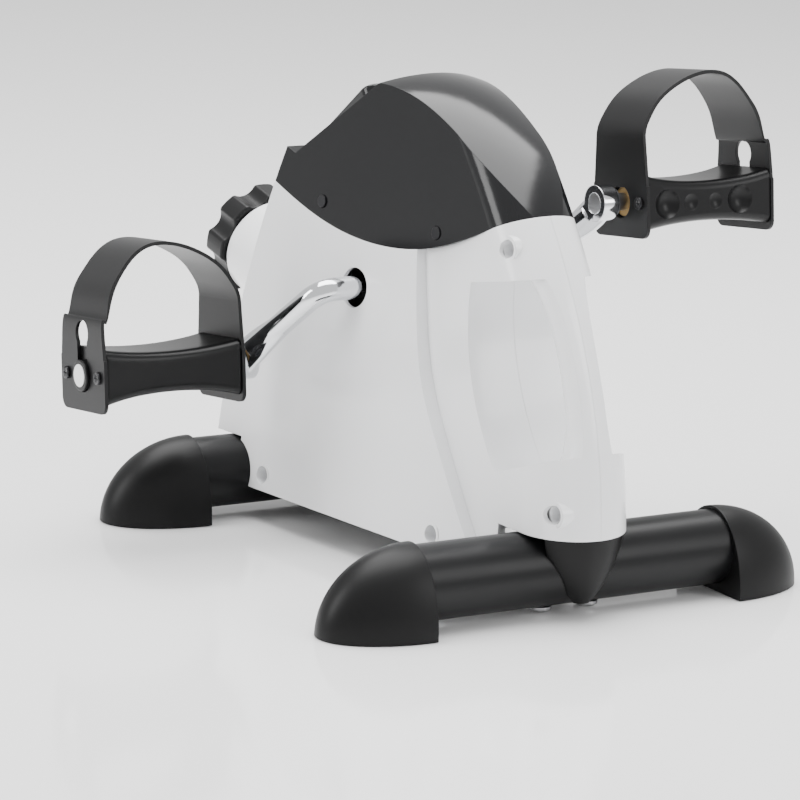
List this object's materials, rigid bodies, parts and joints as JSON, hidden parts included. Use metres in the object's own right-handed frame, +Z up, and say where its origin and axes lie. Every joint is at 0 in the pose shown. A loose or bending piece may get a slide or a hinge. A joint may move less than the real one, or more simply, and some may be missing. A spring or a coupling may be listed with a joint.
{
  "type": "pedal exerciser",
  "caption": "Small floor-standing pedal exerciser: moulded body with a hand grip on two cross bars, chromed bent cranks, strapped foot pedals, a tension knob and a display.",
  "frame": {"origin": "on the floor, under the middle of the bounding box", "axes": "+X to the user's right along the crank axis, -Y towards the seated user, +Z up"},
  "size_m": [0.4634, 0.4728, 0.3274],
  "materials": {
    "white_case": "glossy moulded ABS",
    "black_cover": "glossy dark moulded ABS",
    "black_tube": "satin black powder coat",
    "black_cap": "fine-grained black moulding",
    "chrome": "polished chrome plate",
    "steel": "plain turned steel",
    "cast": "turned cast iron",
    "felt": "grey wool felt",
    "black_knob": "satin black moulding",
    "black_pedal": "satin black moulding",
    "grey_strap": "flexible dark grey moulding",
    "white_badge": "plain white disc",
    "lens": "smoked display window",
    "board": "green circuit board",
    "grey_button": "grey button",
    "black_screw": "black oxide",
    "bush": "sintered bronze"
  },
  "bodies": {
    "frame": {"base_frame": "black_tube", "front_tube": "black_tube", "rear_tube": "black_tube", "front_saddle": "black_tube", "rear_saddle": "black_tube", "front_skirt": "black_cap", "bar_bolts": "steel", "front_right_cap": "black_cap", "front_left_cap": "black_cap", "rear_right_cap": "black_cap", "rear_left_cap": "black_cap", "reed_sensor": "black_cap", "right_bearing": "steel", "left_bearing": "steel", "screw_bracket": "steel", "right_housing": "white_case", "left_housing": "white_case", "housing_screws": "black_screw", "top_cover": "black_cover", "cover_screws": "black_screw", "console_case": "black_cover", "display_lens": "lens", "display_board": "board", "coin_cell": "steel"},
    "crank": {"crank_axle": "steel", "flywheel": "cast", "flywheel_magnet": "steel", "right_crank": "chrome", "left_crank": "chrome", "retaining_rings": "steel", "right_spindle": "steel", "left_spindle": "steel"},
    "knob": {"tension_knob": "black_knob", "tension_screw": "steel"},
    "brake_carriage": {"tension_nut": "steel", "brake_shoe": "steel", "brake_pad": "felt"},
    "mode_key": {"mode_button": "grey_button"},
    "right_pedal": {"right_pedal_body": "black_pedal", "right_pedal_bushes": "bush", "right_strap": "grey_strap", "right_strap_screws": "black_screw", "right_end_boss": "black_pedal", "right_side_badge": "white_badge"},
    "left_pedal": {"left_pedal_body": "black_pedal", "left_pedal_bushes": "bush", "left_strap": "grey_strap", "left_strap_screws": "black_screw", "left_end_boss": "black_pedal", "left_side_badge": "white_badge"}
  },
  "joints": [
    {"name": "crank_spin", "type": "hinge", "parent": "frame", "child": "crank", "pos_m": [0, 0.0085, 0.1785], "axis": [1, 0, 0], "continuous": true},
    {"name": "right_pedal_spin", "type": "hinge", "parent": "crank", "child": "right_pedal", "pos_m": [0.1755, -0.04627, 0.12018], "axis": [1, 0, 0], "continuous": true},
    {"name": "left_pedal_spin", "type": "hinge", "parent": "crank", "child": "left_pedal", "pos_m": [-0.1755, 0.06326, 0.23682], "axis": [1, 0, 0], "continuous": true},
    {"name": "tension_turn", "type": "hinge", "parent": "frame", "child": "knob", "pos_m": [0, -0.2015, 0.163], "axis": [0, 0.9781, -0.2079], "range_deg": [0, 1260]},
    {"name": "brake_slide", "type": "slide", "parent": "frame", "child": "brake_carriage", "axis": [0, 0.9781, -0.2079], "range_m": [0, 0.0044]},
    {"name": "mode_press", "type": "slide", "parent": "frame", "child": "mode_key", "axis": [0, 0.5962, -0.8028], "range_m": [0, 0.0008], "stiffness_N_per_m": 400}
  ],
  "couplings": [
    {"joint": "brake_slide", "follows": "tension_turn", "m_per_rad": 0.00019894}
  ]
}
